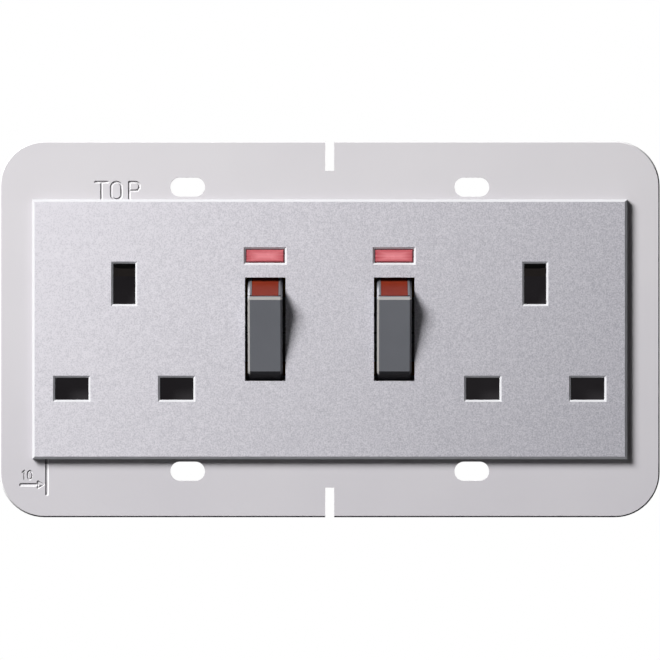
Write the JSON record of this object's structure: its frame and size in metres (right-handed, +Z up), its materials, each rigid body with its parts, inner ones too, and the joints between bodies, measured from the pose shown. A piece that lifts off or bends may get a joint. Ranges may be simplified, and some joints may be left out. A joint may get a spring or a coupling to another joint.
{
  "type": "twin switched socket outlet",
  "caption": "Twin three-pin mains socket outlet with rocker switches, neon lamps, a slim metal-look cover and a screw-on support plate.",
  "frame": {"origin": "centre of the four fixing slots on the support plate's back face, which lies on the wall", "axes": "+X to the right as the outlet is seen, +Y into the wall, +Z up, with the earth holes above the live and neutral holes"},
  "size_m": [0.14, 0.0344, 0.0798],
  "materials": {
    "plate_metal": "smooth pale grey coat",
    "cover_lacquer": "fine-grained aluminium lacquer",
    "housing_dark": "matt black moulding",
    "housing_light": "matt grey moulding",
    "screw_steel": "zinc plated",
    "contact_brass": "bare strip",
    "clip_bronze": "dark spring bronze",
    "terminal_brass": "machined",
    "lens_red": "clear pink-red moulding",
    "lamp_glass": "clear glass",
    "resistor_body": "lacquered, with colour bands",
    "shutter_black": "matt black moulding",
    "spring_steel": "bare wire",
    "rocker_grey": "satin dark grey moulding",
    "flag_red": "satin red moulding",
    "plunger_nylon": "natural nylon",
    "contact_silver": "silver-alloy rivet"
  },
  "bodies": {
    "outlet": {"support_plate": "plate_metal", "centre_plate": "cover_lacquer", "cover_frame": "housing_dark", "front_housing": "housing_dark", "middle_frame": "housing_light", "rear_cover": "housing_light", "housing_screws": "screw_steel", "plate_screws": "screw_steel", "line_bar": "contact_brass", "neutral_bar": "contact_brass", "earth_bar": "contact_brass", "terminal_screws": "screw_steel", "line_terminal": "terminal_brass", "neutral_terminal": "terminal_brass", "earth_terminal_left": "terminal_brass", "earth_terminal_right": "terminal_brass", "lens_left": "lens_red", "lens_right": "lens_red", "lamp_left": "lamp_glass", "lamp_right": "lamp_glass", "resistor_left": "resistor_body", "resistor_right": "resistor_body", "shutter_spring_left": "spring_steel", "shutter_spring_right": "spring_steel", "shutter_cover_left": "housing_dark", "shutter_cover_right": "housing_dark", "fixed_contact_left": "contact_silver", "fixed_contact_right": "contact_silver", "line_strip_left": "contact_brass", "line_strip_right": "contact_brass", "line_clip_left": "clip_bronze", "line_clip_right": "clip_bronze", "neutral_clip_left": "clip_bronze", "neutral_clip_right": "clip_bronze", "earth_clip_left": "clip_bronze", "earth_clip_right": "clip_bronze"},
    "left_rocker": {"rocker_left": "rocker_grey", "rocker_flag_left": "flag_red", "plunger_left": "plunger_nylon", "plunger_spring_left": "spring_steel"},
    "right_rocker": {"rocker_right": "rocker_grey", "rocker_flag_right": "flag_red", "plunger_right": "plunger_nylon", "plunger_spring_right": "spring_steel"},
    "left_lever": {"contact_lever_left": "contact_brass", "moving_contact_left": "contact_silver"},
    "right_lever": {"contact_lever_right": "contact_brass", "moving_contact_right": "contact_silver"},
    "left_shutter": {"shutter_left": "shutter_black"},
    "right_shutter": {"shutter_right": "shutter_black"}
  },
  "joints": [
    {"name": "rocker_left_tilt", "type": "hinge", "parent": "outlet", "child": "left_rocker", "pos_m": [-0.01365, 0.0018, 0], "axis": [1, 0, 0], "range_deg": [-21, 0]},
    {"name": "rocker_right_tilt", "type": "hinge", "parent": "outlet", "child": "right_rocker", "pos_m": [0.01365, 0.0018, 0], "axis": [1, 0, 0], "range_deg": [-21, 0]},
    {"name": "lever_left_tilt", "type": "hinge", "parent": "outlet", "child": "left_lever", "pos_m": [-0.01365, 0.0111, 0], "axis": [1, 0, 0], "range_deg": [0, 18]},
    {"name": "lever_right_tilt", "type": "hinge", "parent": "outlet", "child": "right_lever", "pos_m": [0.01365, 0.0111, 0], "axis": [1, 0, 0], "range_deg": [0, 18]},
    {"name": "shutter_left_slide", "type": "slide", "parent": "outlet", "child": "left_shutter", "axis": [0, 0, -1], "range_m": [0, 0.0055], "stiffness_N_per_m": 60, "springref_m": -0.003, "deforming": ["shutter_spring_left"]},
    {"name": "shutter_right_slide", "type": "slide", "parent": "outlet", "child": "right_shutter", "axis": [0, 0, -1], "range_m": [0, 0.0055], "stiffness_N_per_m": 60, "springref_m": -0.003, "deforming": ["shutter_spring_right"]}
  ],
  "couplings": [
    {"joint": "lever_left_tilt", "follows": "rocker_left_tilt", "ratio": -0.8571},
    {"joint": "lever_right_tilt", "follows": "rocker_right_tilt", "ratio": -0.8571}
  ]
}
